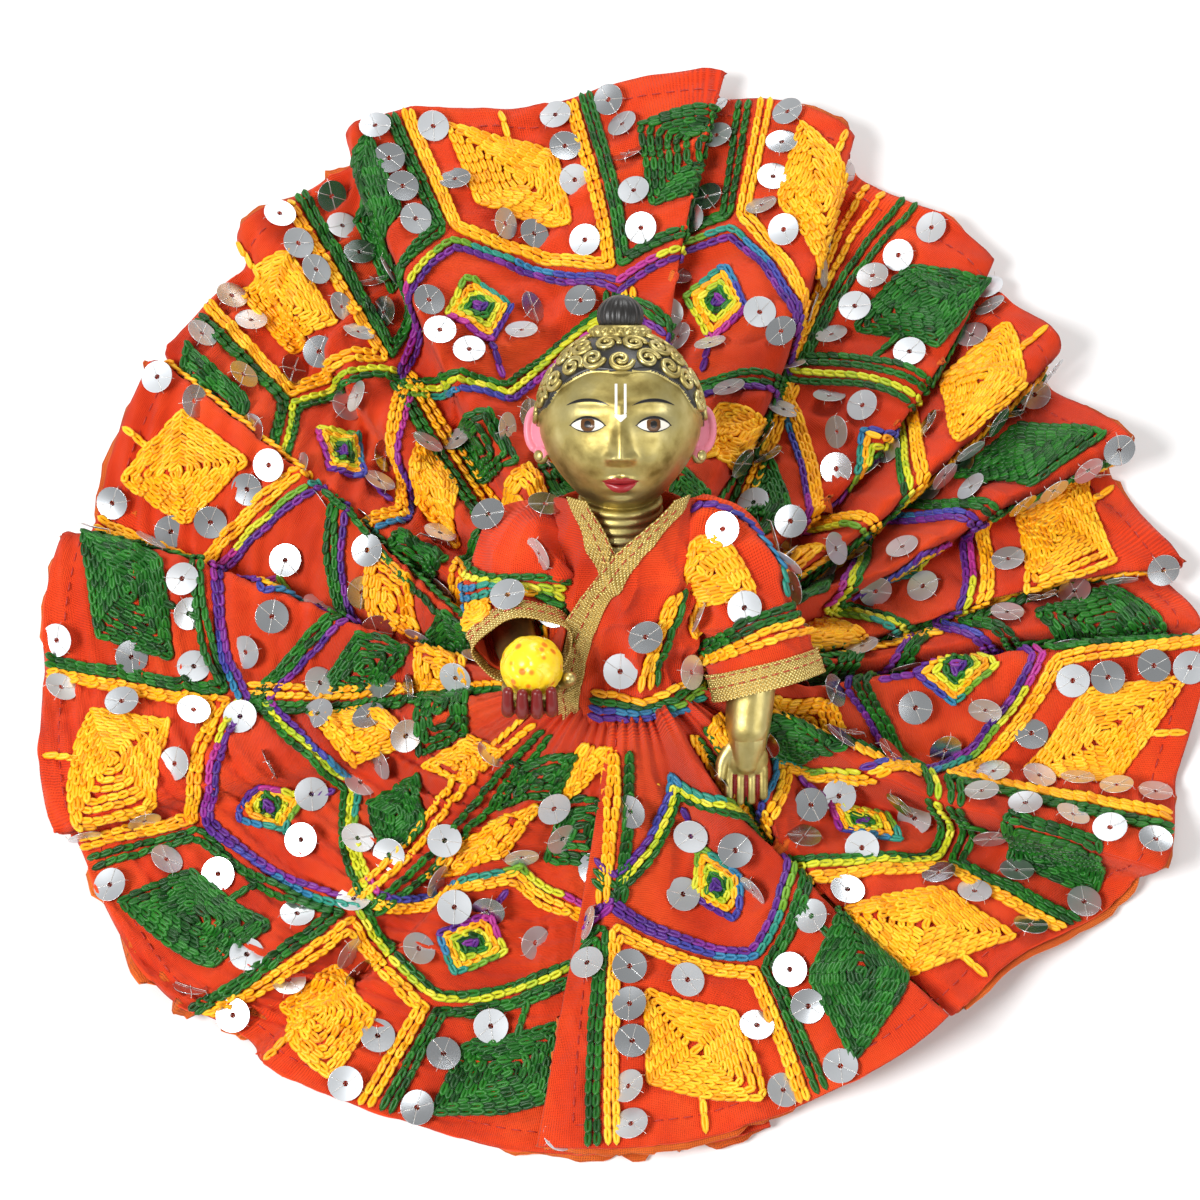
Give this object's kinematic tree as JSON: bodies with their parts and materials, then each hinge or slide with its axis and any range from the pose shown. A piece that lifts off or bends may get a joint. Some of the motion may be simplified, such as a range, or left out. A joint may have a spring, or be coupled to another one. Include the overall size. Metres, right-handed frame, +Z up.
{
  "type": "dressed brass figurine",
  "caption": "Kneeling cast-brass child figurine with a sweet in one hand, wearing a wrap-over bodice and a spread, embroidered full-circle skirt.",
  "frame": {"origin": "on the floor under the centre of the spread skirt", "axes": "+Z up, -Y the way the figurine faces, +X to the figurine's left"},
  "size_m": [0.214, 0.206, 0.0629],
  "materials": {
    "brass": "cast, polished, dark in the recesses",
    "orange_cotton": "plain-weave cotton, matt",
    "lining_cotton": "plain-weave lining, matt",
    "gold_lace": "woven metallic tape",
    "closure_tape": "hook-and-loop tape",
    "embroidery_thread": "glossy chain-stitched yarn",
    "sequin_foil": "mirror-bright foil",
    "nylon_thread": "clear monofilament",
    "enamel_paint": "hand-painted enamel"
  },
  "bodies": {
    "dressed_figurine": {"brass_figurine": "brass", "bodice_back_panel": "orange_cotton", "bodice_under_panel": "orange_cotton", "bodice_over_panel": "orange_cotton", "collar_lace_under": "gold_lace", "collar_lace_over": "gold_lace", "right_sleeve": "orange_cotton", "left_sleeve": "orange_cotton", "right_cuff_lace": "gold_lace", "left_cuff_lace": "gold_lace", "closure_hook_tape": "closure_tape", "closure_loop_tape": "closure_tape", "waistband": "orange_cotton", "skirt_lining": "lining_cotton", "skirt_shell": "orange_cotton"},
    "front_corner": {"front_corner_lining": "lining_cotton", "front_corner_shell": "orange_cotton"}
  },
  "joints": [
    {"name": "front_corner_fold", "type": "hinge", "parent": "dressed_figurine", "child": "front_corner", "pos_m": [-0.01, -0.062, 0.006], "axis": [-0.9393, 0.3431, 0], "range_deg": [0, 120]}
  ]
}
